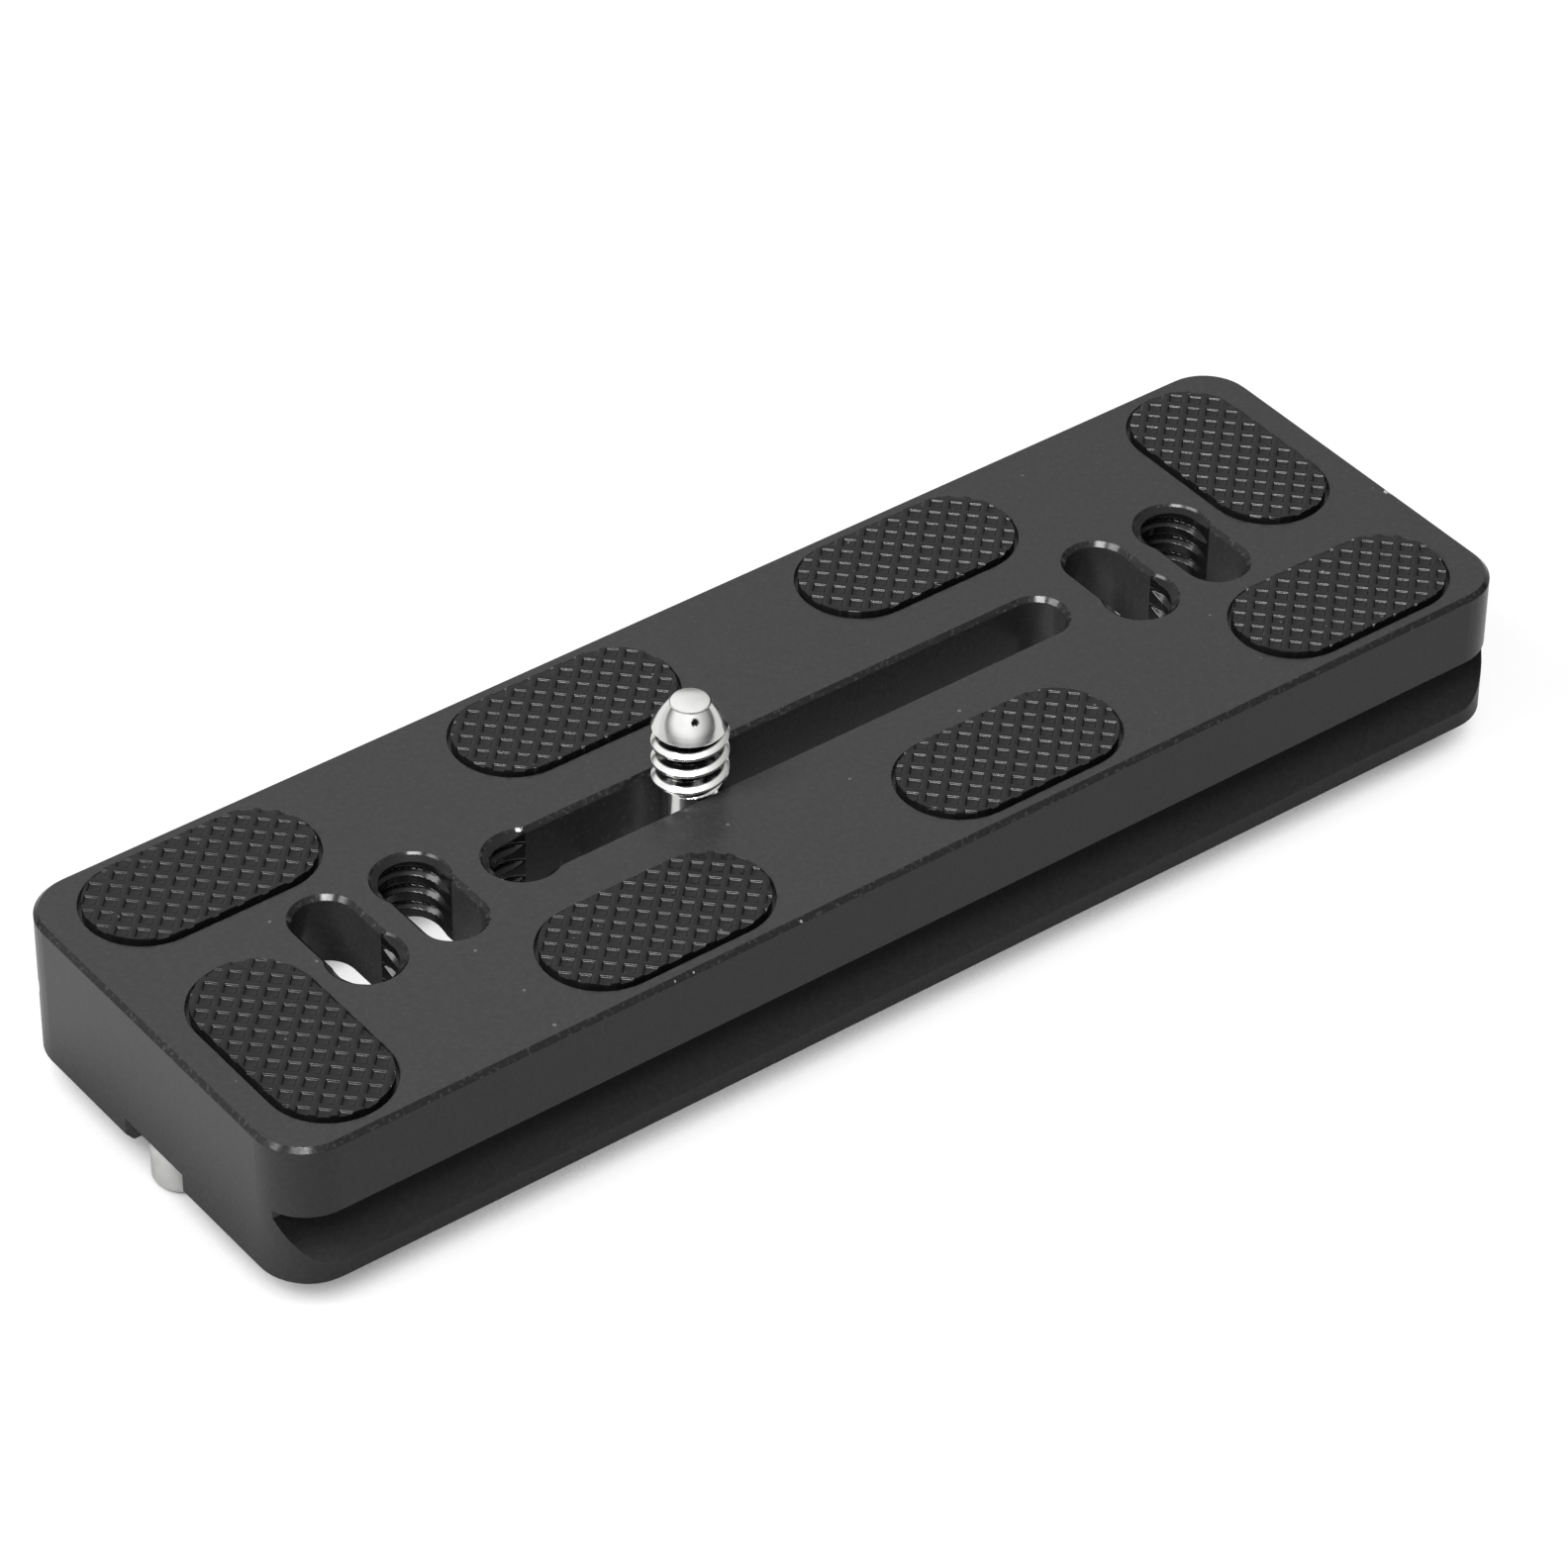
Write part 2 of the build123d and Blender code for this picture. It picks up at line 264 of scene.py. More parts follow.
class ScrewSettings(bpy.types.PropertyGroup):
    """Turned sizes of the camera screw."""

    tip_radius: FloatProperty(name="Tip radius", description="Radius of the flat tip",
                              default=1.6 * MM, unit="LENGTH", precision=5)
    cone: FloatProperty(name="Tip cone", description="Height of the cone below the tip",
                        default=2.5 * MM, unit="LENGTH", precision=5)
    seat_radius: FloatProperty(name="Seat radius",
                               description="Radius of the seating cone at the plate's top",
                               default=2.65 * MM, unit="LENGTH", precision=5)
    neck_radius: FloatProperty(name="Neck radius", description="Radius of the neck in the slot",
                               default=2.2 * MM, unit="LENGTH", precision=5)
    head: FloatProperty(name="Head", description="Thickness of the head",
                        default=1.5 * MM, unit="LENGTH", precision=5)
    boss_radius: FloatProperty(name="Boss radius", description="Radius of the drilled boss below the head",
                               default=3.0 * MM, unit="LENGTH", precision=5)
    edge: FloatProperty(name="Broken edge", description="Width of the broken edges of head and boss",
                        default=0.3 * MM, unit="LENGTH", precision=5)
    hole_gap: FloatProperty(name="Ring play", description="Gap round the wire in its hole",
                            default=0.08 * MM, unit="LENGTH", precision=5)
    slot_width: FloatProperty(name="Coin slot width", description="Width of the coin slot",
                              default=1.4 * MM, unit="LENGTH", precision=5)
    slot_depth: FloatProperty(name="Coin slot depth", description="Depth of the coin slot",
                              default=0.7 * MM, unit="LENGTH", precision=5)
    steps: IntProperty(name="Steps round", description="Steps round the screw", default=160, min=24)


class FinishSettings(bpy.types.PropertyGroup):
    """Colours of the metal finishes."""

    anodised: FloatVectorProperty(name="Black finish", description="Colour of the anodised plate",
                                  subtype="COLOR", default=(0.046, 0.046, 0.047), min=0.0, max=1.0)
    # Far darker than the black finish: painted shade for the threads deep in the tapped bores
    tapped: FloatVectorProperty(name="Tapped black", description="Colour of the threads in the tapped bores",
                                subtype="COLOR", default=(0.01, 0.01, 0.0105), min=0.0, max=1.0)
    bare: FloatVectorProperty(name="Bare metal", description="Colour where the black finish is worn off",
                              subtype="COLOR", default=(0.62, 0.62, 0.61), min=0.0, max=1.0)
    plated: FloatVectorProperty(name="Plated steel", description="Colour of the bright screws",
                                subtype="COLOR", default=(0.94, 0.94, 0.93), min=0.0, max=1.0)
    steel: FloatVectorProperty(name="Plain steel", description="Colour of the wire ring",
                               subtype="COLOR", default=(0.7, 0.7, 0.69), min=0.0, max=1.0)
    zinc: FloatVectorProperty(name="Dull zinc", description="Colour of the washer",
                              subtype="COLOR", default=(0.45, 0.45, 0.45), min=0.0, max=1.0)


class StageSettings(bpy.types.PropertyGroup):
    """Floor, lamps and camera."""

    floor: FloatVectorProperty(name="Floor", description="Colour of the floor under its glow",
                               subtype="COLOR", default=(0.16, 0.16, 0.16), min=0.0, max=1.0)
    glow: FloatProperty(name="Floor glow", description="Glow that makes the open floor white", default=0.93,
                        subtype="FACTOR", min=0.0, max=1.0)
    floor_radius: FloatProperty(name="Floor radius", description="Radius of the flat part of the floor",
                                default=2.5, unit="LENGTH")
    bounce: FloatVectorProperty(name="Bounce",
                                description="Colour of the floor for the light that it throws back",
                                subtype="COLOR", default=(0.22, 0.22, 0.22), min=0.0, max=1.0)
    key: FloatProperty(name="Key lamp", description="Power of the lamp at the left",
                       default=6.3, unit="POWER")
    flash: FloatProperty(name="Flash", description="Power of the small lamp beside the camera",
                         default=1.5, unit="POWER")
    glint: FloatProperty(name="Glint strip", description="Power of the strip that only gloss shows",
                         default=3.2, unit="POWER")
    overhead: FloatProperty(name="Overhead lamp", description="Power of the lamp over the plate",
                            default=0.8, unit="POWER")
    world: FloatProperty(name="Surroundings", description="Grey of the room as it lights the plate",
                         default=0.08, subtype="FACTOR", min=0.0, max=1.0)
    mirrored: FloatProperty(name="Mirrored surroundings", description="Grey of the room as metal mirrors it",
                            default=1.0, subtype="FACTOR", min=0.0, max=1.0)
    lens: FloatProperty(name="Lens", description="Focal length of the camera in millimetres", default=152.5)


def sheet_faces(rows, cols, closed=False):
    """Quads of a grid of points numbered row by row; closed joins the last column to the first."""
    row = np.arange(rows - 1)[:, None] * cols
    col = np.arange(cols if closed else cols - 1)[None, :]
    after = (col + 1) % cols
    return np.stack([row + col, row + after, row + cols + after, row + cols + col], -1).reshape(-1, 4)


def fan_faces(ring, centre):
    """Triangles from each side of a closed ring of points to one centre point."""
    ring = np.asarray(ring)
    return np.stack([ring, np.roll(ring, -1), np.full(len(ring), centre)], -1)


def signed_volume(points, faces):
    """Sum over all faces of the volume of the fan from the origin, positive where faces point outwards."""
    total = 0.0
    for block in faces:
        for k in range(1, block.shape[1] - 1):
            a, b, c = points[block[:, 0]], points[block[:, k]], points[block[:, k + 1]]
            total += np.einsum("ij,ij->i", a, np.cross(b, c)).sum() / 6
    return total


def closed_mesh(name, points, faces):
    """Mesh of a closed surface from one array of points and arrays of faces, turned to point outwards."""
    points = np.asarray(points, float).reshape(-1, 3)
    if signed_volume(points - points.mean(0), faces) < 0:
        faces = [block[:, ::-1] for block in faces]
    corners = np.concatenate([block.ravel() for block in faces])
    sizes = np.concatenate([np.full(len(block), block.shape[1]) for block in faces])
    mesh = bpy.data.meshes.new(name)
    mesh.vertices.add(len(points))
    mesh.vertices.foreach_set("co", points.astype(np.float32).ravel())
    mesh.loops.add(len(corners))
    mesh.loops.foreach_set("vertex_index", corners.astype(np.int32))
    mesh.polygons.add(len(sizes))
    mesh.polygons.foreach_set("loop_start", (np.cumsum(sizes) - sizes).astype(np.int32))
    mesh.polygons.foreach_set("loop_total", sizes.astype(np.int32))
    mesh.update(calc_edges=True)
    if mesh.validate():
        raise RuntimeError(f"{name} has faces that Blender refuses")
    return mesh


def shade(mesh, angle):
    """Smooth shading, with edges kept sharp where two faces meet at more than angle degrees."""
    mesh.polygons.foreach_set("use_smooth", np.ones(len(mesh.polygons), bool))
    mesh.set_sharp_from_angle(angle=math.radians(angle))


def show(mesh, material, body, replaced=()):
    """Object for a finished mesh, riding on its body, with its finish and the nodes that it stands for."""
    piece = bpy.data.objects.new(mesh.name, mesh)
    bpy.context.scene.collection.objects.link(piece)
    mesh.materials.append(material)
    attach(piece, body)
    if replaced:
        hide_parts(*replaced)


def smooth(value):
    """Value held between 0 and 1, with level ends: three times its square less twice its cube."""
    value = np.clip(value, 0, 1)
    return value * value * (3 - 2 * value)


def bar_surface(outline, axis_points):
    """Points and faces of a straight bar: an outline carried between two points, closed by two fans."""
    grid = outline[None] + np.asarray(axis_points)[:, None]
    count = len(outline)
    points = np.concatenate([grid.reshape(-1, 3), grid.mean(1)])
    faces = [
        sheet_faces(2, count, closed=True),
        fan_faces(np.arange(count), 2 * count)[:, ::-1],
        fan_faces(count + np.arange(count), 2 * count + 1),
    ]
    return points, faces


def embossed_sheet(size, low, high, number, st):
    """Points and faces of a square of embossed sheet, before the pad is cut from it.

    The top is a grid along the two directions of a square lattice at 45 degrees. In each direction a
    dimple's depth share is the distance inside its rim over the wall's width, made smooth, and the dimple
    has the lesser of the two shares. The grid has lines only along rims and walls. A skirt and a fan close
    it below.
    """
    wall = np.linspace(0, st.wall, WALL_LINES)
    rim = (st.pitch - st.side) / 2
    lines = np.concatenate([[0.0], rim + wall, st.pitch - rim - wall[::-1]])
    cells = math.ceil(size / st.pitch) + 1
    # The lattice starts at another place on each pad, as on pads cut from one sheet
    start = np.modf(number * np.array(LATTICE_SHIFT) + LATTICE_START)[0] * st.pitch
    steps = ((np.arange(cells) - cells / 2)[:, None] * st.pitch + lines).ravel()
    share = np.tile(smooth((np.minimum(lines, st.pitch - lines) - rim) / st.wall), cells)
    along, across = steps + start[0] - st.pitch / 2, steps + start[1] - st.pitch / 2

    count = len(steps)
    u, v = along[:, None], across[None, :]
    z = high - st.depth * np.minimum(share[:, None], share[None, :])
    x, y = (u + v) / math.sqrt(2), (u - v) / math.sqrt(2)
    top = np.stack(np.broadcast_arrays(x, y, z), -1).reshape(-1, 3)
    index = np.arange(count * count).reshape(count, count)
    loop = np.concatenate([index[0, :-1], index[:-1, -1], index[-1, :0:-1], index[:0:-1, 0]])
    skirt = top[loop]
    skirt[:, 2] = low
    ring = len(top) + np.arange(len(loop))
    points = np.concatenate([top, skirt, [[*skirt[:, :2].mean(0), low]]])
    faces = [
        sheet_faces(count, count),
        np.stack([np.roll(loop, -1), loop, ring, np.roll(ring, -1)], -1),
        fan_faces(ring, len(points) - 1)[:, ::-1],
    ]
    return points, faces


def pad_cutter(low, high, number, st):
    """Points and faces of the cutter for one pad: a round-ended outline carried upright.

    Along the outline the normal's angle grows on the round ends and rests on the straight sides. The
    outline is drawn in along its normal by a small random amount, averaged over neighbours, as a cut edge of
    rubber is.
    """
    size = np.array(high - low)
    length, width = max(size[0], size[1]), min(size[0], size[1])
    radius, straight = width / 2, (length - width) / 2
    knots = np.cumsum([0, math.pi * radius, 2 * straight, math.pi * radius, 2 * straight])
    way = np.linspace(0, knots[-1], OUTLINE_STEPS, endpoint=False)
    angle = np.interp(way, knots, np.radians([-90, 90, 90, 270, 270]))
    centre = np.interp(way, knots, [straight, straight, -straight, -straight, straight])
    rough = np.random.default_rng(number).random(len(way))
    rough = (rough + np.roll(rough, 1) + np.roll(rough, 2)) / 3
    reach = radius - st.rag * rough
    outline = np.stack([centre + reach * np.cos(angle), reach * np.sin(angle), np.zeros(len(way))], -1)
    if size[1] > size[0]:
        outline[:, :2] = np.stack([-outline[:, 1], outline[:, 0]], -1)
    return bar_surface(outline, [(0, 0, low.z - CUT_PAST), (0, 0, high.z + CUT_PAST)])


def past_crest(angle, z, st):
    """Distance along the axis from the flat of the nearest turn of a right-hand helix, nought on the flat.

    The phase is the height in turns less the angle in turns, and a flat's middle is at half a turn.
    """
    phase = (z / st.pitch - angle / (2 * math.pi)) % 1
    return np.maximum(np.abs(phase - 0.5) * st.pitch - CREST_FLAT * st.pitch, 0)


def thread_share(angle, z, st):
    """Share of the thread's height at an angle and a level.

    It is 1 less the distance from the crest over the flank's height, with some of its smooth curve mixed in.
    """
    share = 1 - past_crest(angle, z, st) / st.flank
    return FLANK_STRAIGHT * np.clip(share, 0, 1) + FLANK_ROUND * smooth(share)


def screw_surface(thread, st):
    """Points and faces of the camera screw.

    A profile of radius against height is carried round the screw's axis. Between the tip cone and the
    seating cone the radius is the smaller of the profile and the helical thread, which fades out on the tip
    cone. Both ends close to a pole.
    """
    tip_z = SCREW_HIGH.z
    foot_z = SCREW_LOW.z
    head_z = HEAD_TOP_Z - st.head
    neck_top = TOP_Z - st.seat_radius + st.neck_radius

    upper = np.array([
        (st.tip_radius - TIP_ROUND, tip_z),
        (st.tip_radius - TIP_ROUND * TIP_MIDDLE[0], tip_z - TIP_ROUND * TIP_MIDDLE[1]),
    ])
    cone = np.linspace(0, 1, CONE_LEVELS)
    bulged = cone + TIP_BULGE * np.sin(math.pi * cone)
    cone_r = np.minimum(st.tip_radius + (thread.radius - st.tip_radius) * bulged, thread.radius)
    cone_z = tip_z - TIP_ROUND - (st.cone - TIP_ROUND) * cone
    shank_z = np.linspace(cone_z[-1], neck_top, SHANK_LEVELS)[1:]
    shank_r = np.minimum(thread.radius, st.seat_radius + shank_z - TOP_Z)
    lower = np.array([
        (st.neck_radius, HEAD_TOP_Z + FILLET),
        (st.neck_radius + FILLET * FILLET_MIDDLE, HEAD_TOP_Z + FILLET * FILLET_MIDDLE),
        (st.neck_radius + FILLET, HEAD_TOP_Z),
        (HEAD_R - st.edge, HEAD_TOP_Z),
        (HEAD_R, HEAD_TOP_Z - st.edge),
        (HEAD_R, head_z + st.edge),
        (HEAD_R - st.edge, head_z),
        (st.boss_radius + FILLET, head_z),
        (st.boss_radius, head_z - FILLET),
        (st.boss_radius, foot_z + st.edge),
        (st.boss_radius - st.edge, foot_z),
    ])
    radius = np.concatenate([upper[:, 0], cone_r, shank_r, lower[:, 0]])
    height = np.concatenate([upper[:, 1], cone_z, shank_z, lower[:, 1]])
    threaded = np.zeros(len(radius), bool)
    threaded[len(upper):len(upper) + len(cone_r) + len(shank_r)] = True

    angle = np.linspace(0, 2 * math.pi, st.steps, endpoint=False)
    r = np.broadcast_to(radius[:, None], (len(radius), st.steps)).copy()
    share = thread_share(angle[None, :] - 2 * math.pi * thread.start, height[:, None], thread)
    fade = smooth((tip_z - THREAD_BEGINS * st.cone - height) / (THREAD_GROWS * st.cone))[:, None]
    turns = thread.radius - thread.depth * (1 - share) * fade
    r[threaded] = np.minimum(r, turns)[threaded]
    grid = np.stack([
        SCREW_X + r * np.cos(angle),
        r * np.sin(angle),
        np.broadcast_to(height[:, None], r.shape),
    ], -1)
    points = np.concatenate([grid.reshape(-1, 3), [[SCREW_X, 0, tip_z], [SCREW_X, 0, foot_z]]])
    count = len(radius) * st.steps
    faces = [
        sheet_faces(len(radius), st.steps, closed=True),
        fan_faces(np.arange(st.steps), count)[:, ::-1],
        fan_faces((len(radius) - 1) * st.steps + np.arange(st.steps), count + 1),
    ]
    return points, faces


def ring_hole(st):
    """Points and faces of the drill for the wire's hole: a circle round the wire, carried past the boss."""
    angle = np.linspace(0, 2 * math.pi, HOLE_STEPS, endpoint=False)
    radius = WIRE_R + st.hole_gap
    outline = np.stack([radius * np.cos(angle), np.zeros(HOLE_STEPS), radius * np.sin(angle)], -1)
    past = 2 * st.boss_radius
    return bar_surface(outline, [(SCREW_X, -past, RING_Z), (SCREW_X, past, RING_Z)])


def coin_slot(st):
    """Points and faces of the cutter for the coin slot: a rectangle at the foot's level, carried along X."""
    half_w, depth = st.slot_width / 2, st.slot_depth
    outline = np.array([(0, -half_w, -depth), (0, half_w, -depth), (0, half_w, depth), (0, -half_w, depth)])
    past = 2 * st.boss_radius
    return bar_surface(outline, [(SCREW_X - past, 0, SCREW_LOW.z), (SCREW_X + past, 0, SCREW_LOW.z)])


def combine(mesh, tools, operation):
    """Copy of a closed mesh after a cut with closed tool meshes; the mesh and the tools are used up."""
    whole = bpy.data.objects.new("uncut", mesh)
    bpy.context.scene.collection.objects.link(whole)
    used = [whole]
    for tool in tools:
        thing = bpy.data.objects.new("tool", tool)
        bpy.context.scene.collection.objects.link(thing)
        cut = whole.modifiers.new("cut", "BOOLEAN")
        cut.operation = operation
        cut.solver = "MANIFOLD"
        cut.object = thing
        used.append(thing)
    graph = bpy.context.evaluated_depsgraph_get()
    result = bpy.data.meshes.new_from_object(whole.evaluated_get(graph))
    for thing in used:
        old = thing.data
        bpy.data.objects.remove(thing)
        bpy.data.meshes.remove(old)
    if not result.polygons:
        raise RuntimeError("nothing is left after the cut")
    result.materials.clear()
    return result


def bore_surface(x, y, facing, half_width, st):
    """Points and faces of the thread in one tapped bore.

    In polar coordinates about the bore's axis, the inner radius is the largest of three: the slot's own
    wall, which is round at the slot's end and flat beside it, the V groove of the right-hand thread, and a
    steep countersink. It is held to the bore's radius. The sheet backs a little into the bore's wall, and
    closes at both ends.
    """
    limit = math.pi - math.asin(half_width / st.radius)
    angle = np.linspace(-limit, limit, BORE_STEPS)[:, None]
    rim_z = TOP_Z - (st.sink - st.radius)
    z = np.linspace(rim_z, TOP_Z - WEB_T + BORE_FOOT_GAP, BORE_LEVELS)[None, :]
    depth = TOP_Z - z

    beside = np.abs(angle) > math.pi / 2
    wall = half_width + np.maximum(SLOT_CHAMFER - depth, 0) * beside
    wall = wall / np.sin(np.maximum(np.abs(angle), math.pi / 2))
    turned = angle + math.radians(facing)
    groove = st.radius - BORE_ROOT_GAP - past_crest(turned, z, st) * st.depth / st.flank
    sink = st.radius - SINK_SLOPE * (depth - st.sink + st.radius)
    radius = np.minimum(np.maximum(np.maximum(wall, groove), sink), st.radius)

    loop_r = np.concatenate([radius, np.full_like(radius, st.radius + BORE_BACKING)], 1)
    loop_z = np.concatenate([z, z[:, ::-1]], 1) + np.zeros_like(loop_r)
    grid = np.stack([x + loop_r * np.cos(turned), y + loop_r * np.sin(turned), loop_z], -1)
    around = 2 * BORE_LEVELS
    inner = np.arange(BORE_LEVELS)
    outer = around - 1 - inner
    cap = np.stack([inner[:-1], inner[1:], outer[1:], outer[:-1]], -1)
    faces = [sheet_faces(BORE_STEPS, around, closed=True), cap, cap[:, ::-1] + (BORE_STEPS - 1) * around]
    return grid.reshape(-1, 3), faces


def floor_surface(radius):
    """Points and faces of the floor: a flat disc that curves up to a low wall, a profile turned about Z."""
    lift = np.linspace(0, math.pi / 2, FLOOR_RINGS)[1:]
    flat = np.geomspace(FLOOR_FIRST_R, radius, FLOOR_RINGS)
    reach = np.concatenate([flat, radius + FLOOR_BEND * np.sin(lift)])
    rise = np.concatenate([np.zeros(FLOOR_RINGS), FLOOR_BEND * (1 - np.cos(lift))])
    angle = np.linspace(0, 2 * math.pi, FLOOR_STEPS, endpoint=False)
    grid = np.stack([
        reach[:, None] * np.cos(angle),
        reach[:, None] * np.sin(angle),
        np.broadcast_to(rise[:, None], (len(rise), len(angle))),
    ], -1)
    points = np.concatenate([grid.reshape(-1, 3), [[0, 0, 0]]])
    faces = sheet_faces(len(reach), len(angle), closed=True)[:, ::-1].tolist()
    return points, faces + fan_faces(np.arange(len(angle)), len(points) - 1).tolist()


def put(tree, kind, sockets=None, **settings):
    """New node with its settings; sockets maps an input to a value or to the output that feeds it."""
    node = tree.nodes.new(kind)
    for name, value in settings.items():
        setattr(node, name, value)
    for name, value in (sockets or {}).items():
        if isinstance(value, bpy.types.NodeSocket):
            tree.links.new(value, node.inputs[name])
        else:
            node.inputs[name].default_value = value
    return node


def sums(tree, operation, first, second=0.0):
    """Output of one Math node."""
    return put(tree, "ShaderNodeMath", {0: first, 1: second}, operation=operation).outputs[0]


def vectors(tree, operation, first, second=(0.0, 0.0, 0.0), out="Vector"):
    """Output of one Vector Math node."""
    return put(tree, "ShaderNodeVectorMath", {0: first, 1: second}, operation=operation).outputs[out]


def ramp(tree, value, low, high, start=0.0, end=1.0):
    """Value taken smoothly from low..high to start..end, and held outside."""
    limits = {"Value": value, "From Min": low, "From Max": high, "To Min": start, "To Max": end}
    return put(tree, "ShaderNodeMapRange", limits, interpolation_type="SMOOTHSTEP").outputs["Result"]


def between(tree, value, low, high):
    """Mask that is 1 where a value is above low and below high."""
    above = sums(tree, "GREATER_THAN", value, low)
    return sums(tree, "MULTIPLY", above, sums(tree, "LESS_THAN", value, high))


def split(tree, vector, axis):
    """One coordinate of a vector."""
    return put(tree, "ShaderNodeSeparateXYZ", {0: vector}).outputs[axis]


def axis_distance(tree, place):
    """Distance of a place from the Z axis."""
    return vectors(tree, "LENGTH", vectors(tree, "MULTIPLY", place, (1.0, 1.0, 0.0)), out="Value")


def blend_colours(tree, factor, first, second):
    """Output of one colour Mix node, whose colour sockets are the seventh and eighth."""
    return put(tree, "ShaderNodeMix", {0: factor, 6: first, 7: second}, data_type="RGBA").outputs[2]


def opaque(colour, share=1.0):
    """Colour times a share, with full alpha."""
    return (*[part * share for part in colour[:3]], 1.0)


def grey(level):
    """Opaque grey of one level."""
    return (level, level, level, 1.0)


def new_group(name, inputs, outputs):
    """Empty shader node group with its sockets, and its two end nodes."""
    tree = bpy.data.node_groups.new(name, "ShaderNodeTree")
    for title, kind, default in inputs:
        socket = tree.interface.new_socket(title, in_out="INPUT", socket_type=kind)
        if default is not None:
            socket.default_value = default
    for title in outputs:
        tree.interface.new_socket(title, in_out="OUTPUT", socket_type="NodeSocketFloat")
    return tree, tree.nodes.new("NodeGroupInput"), tree.nodes.new("NodeGroupOutput")


def grain_group():
    """Fine grain and wider mottling of a surface, both about 0.5."""
    if "surface_grain" in bpy.data.node_groups:
        return bpy.data.node_groups["surface_grain"]
    tree, given, out = new_group(
        "surface_grain",
        [("Place", "NodeSocketVector", None), ("Grain", "NodeSocketFloat", 9000.0),
         ("Mottle", "NodeSocketFloat", 300.0)],
        ["Height", "Mottle"],
    )
    for scale, result, detail, roughness in (("Grain", "Height", 3.0, 0.6), ("Mottle", "Mottle", 4.0, 0.55)):
        noise = put(tree, "ShaderNodeTexNoise", {
            "Vector": given.outputs["Place"],
            "Scale": given.outputs[scale],
            "Detail": detail,
            "Roughness": roughness,
        })
        tree.links.new(noise.outputs["Fac"], out.inputs[result])
    return tree


def specks_group():
    """Sparse small specks: one in some of the cells of a random pattern, seen from above."""
    if "dust_specks" in bpy.data.node_groups:
        return bpy.data.node_groups["dust_specks"]
    tree, given, out = new_group(
        "dust_specks",
        [("Place", "NodeSocketVector", None), ("Cells", "NodeSocketFloat", 300.0),
         ("Size", "NodeSocketFloat", 0.03), ("Share", "NodeSocketFloat", 0.3)],
        ["Mask"],
    )
    place, count = given.outputs["Place"], given.outputs["Cells"]
    cells = put(tree, "ShaderNodeTexVoronoi", {"Vector": place, "Scale": count}, voronoi_dimensions="2D")
    pick = put(tree, "ShaderNodeSeparateColor", {"Color": cells.outputs["Color"]})
    chosen = sums(tree, "LESS_THAN", pick.outputs[0], given.outputs["Share"])
    size = sums(tree, "MULTIPLY", given.outputs["Size"], pick.outputs[1])
    near = sums(tree, "LESS_THAN", cells.outputs["Distance"], size)
    tree.links.new(sums(tree, "MULTIPLY", near, chosen), out.inputs["Mask"])
    return tree


def turning_group():
    """Fine rings left by turning about a vertical axis, on flat faces and on round ones."""
    if "turning_marks" in bpy.data.node_groups:
        return bpy.data.node_groups["turning_marks"]
    tree, given, out = new_group(
        "turning_marks",
        [("Place", "NodeSocketVector", None), ("Rings", "NodeSocketFloat", 9000.0)],
        ["Height"],
    )
    place = given.outputs["Place"]
    reach = sums(tree, "ADD", axis_distance(tree, place), split(tree, place, "Z"))
    turns = sums(tree, "MULTIPLY", reach, given.outputs["Rings"])
    wave = {"W": turns, "Scale": 1.0, "Detail": 2.0}
    marks = put(tree, "ShaderNodeTexNoise", wave, noise_dimensions="1D")
    tree.links.new(marks.outputs["Fac"], out.inputs["Height"])
    return tree


def new_material(name):
    """Material with its node tree, its Principled shader and the Object coordinates."""
    material = bpy.data.materials.new(name)
    material.use_nodes = True
    tree = material.node_tree
    shader = tree.nodes["Principled BSDF"]
    place = tree.nodes.new("ShaderNodeTexCoord").outputs["Object"]
    return material, tree, shader, place


def use_group(tree, group, **sockets):
    """Places a node group with its values."""
    return put(tree, "ShaderNodeGroup", sockets, node_tree=group)


def feed(tree, shader, **sockets):
    """Links outputs to the shader's inputs; an underscore in a name stands for a space."""
    for name, value in sockets.items():
        tree.links.new(value, shader.inputs[name.replace("_", " ")])


def raise_surface(tree, shader, height, strength, distance):
    """Bump from a height, into the shader's Normal."""
    bump = put(tree, "ShaderNodeBump", {"Height": height, "Strength": strength, "Distance": distance})
    tree.links.new(bump.outputs["Normal"], shader.inputs["Normal"])
    return bump


def milled_cuts_and_groove_shade(tree, place, slope, ragged, colour, rough):
    """Colour and roughness with the chamfers left as milled and painted shade on the flanks in the groove.

    Flanks darken with their depth in the groove, by their distance from the plate's middle plane, as painted
    shade. Chamfers are darker and smoother all over, with lighter flecks where the ragged noise is high.
    """
    flank = between(tree, slope, FLANK, CHAMFER)
    chamfer = between(tree, slope, CHAMFER, LEVEL)
    # Painted shade: flanks darker the deeper they lie in the groove; chamfers take their darker milled tone
    deep = ramp(tree, sums(tree, "ABSOLUTE", split(tree, place, "Y")), *GROOVE_Y, GROOVE_SHADE, 0.0)
    milled = sums(tree, "MULTIPLY", chamfer, CHAMFER_SHADE)
    milled = sums(tree, "ADD", sums(tree, "MULTIPLY", flank, deep), milled)
    colour = blend_colours(tree, milled, colour, grey(MILLED_AND_SHADE_BLACK))
    flecks = sums(tree, "MULTIPLY", chamfer, ramp(tree, ragged, *CHAMFER_FLECKS))
    colour = blend_colours(tree, flecks, colour, grey(CHAMFER_FLECK_GREY))
    return colour, sums(tree, "SUBTRACT", rough, sums(tree, "MULTIPLY", chamfer, CHAMFER_POLISH))


def bruise_mask(tree, place, ragged):
    """Mask of bare metal: nearness to the closest bruise times the ragged noise, past a limit."""
    closest = None
    for centre, size in BRUISES:
        gap = vectors(tree, "DISTANCE", place, centre, out="Value")
        near = ramp(tree, gap, 0.0, size, 1.0, 0.0)
        closest = near if closest is None else sums(tree, "MAXIMUM", closest, near)
    return ramp(tree, sums(tree, "MULTIPLY", closest, ragged), *BARE_EDGE)


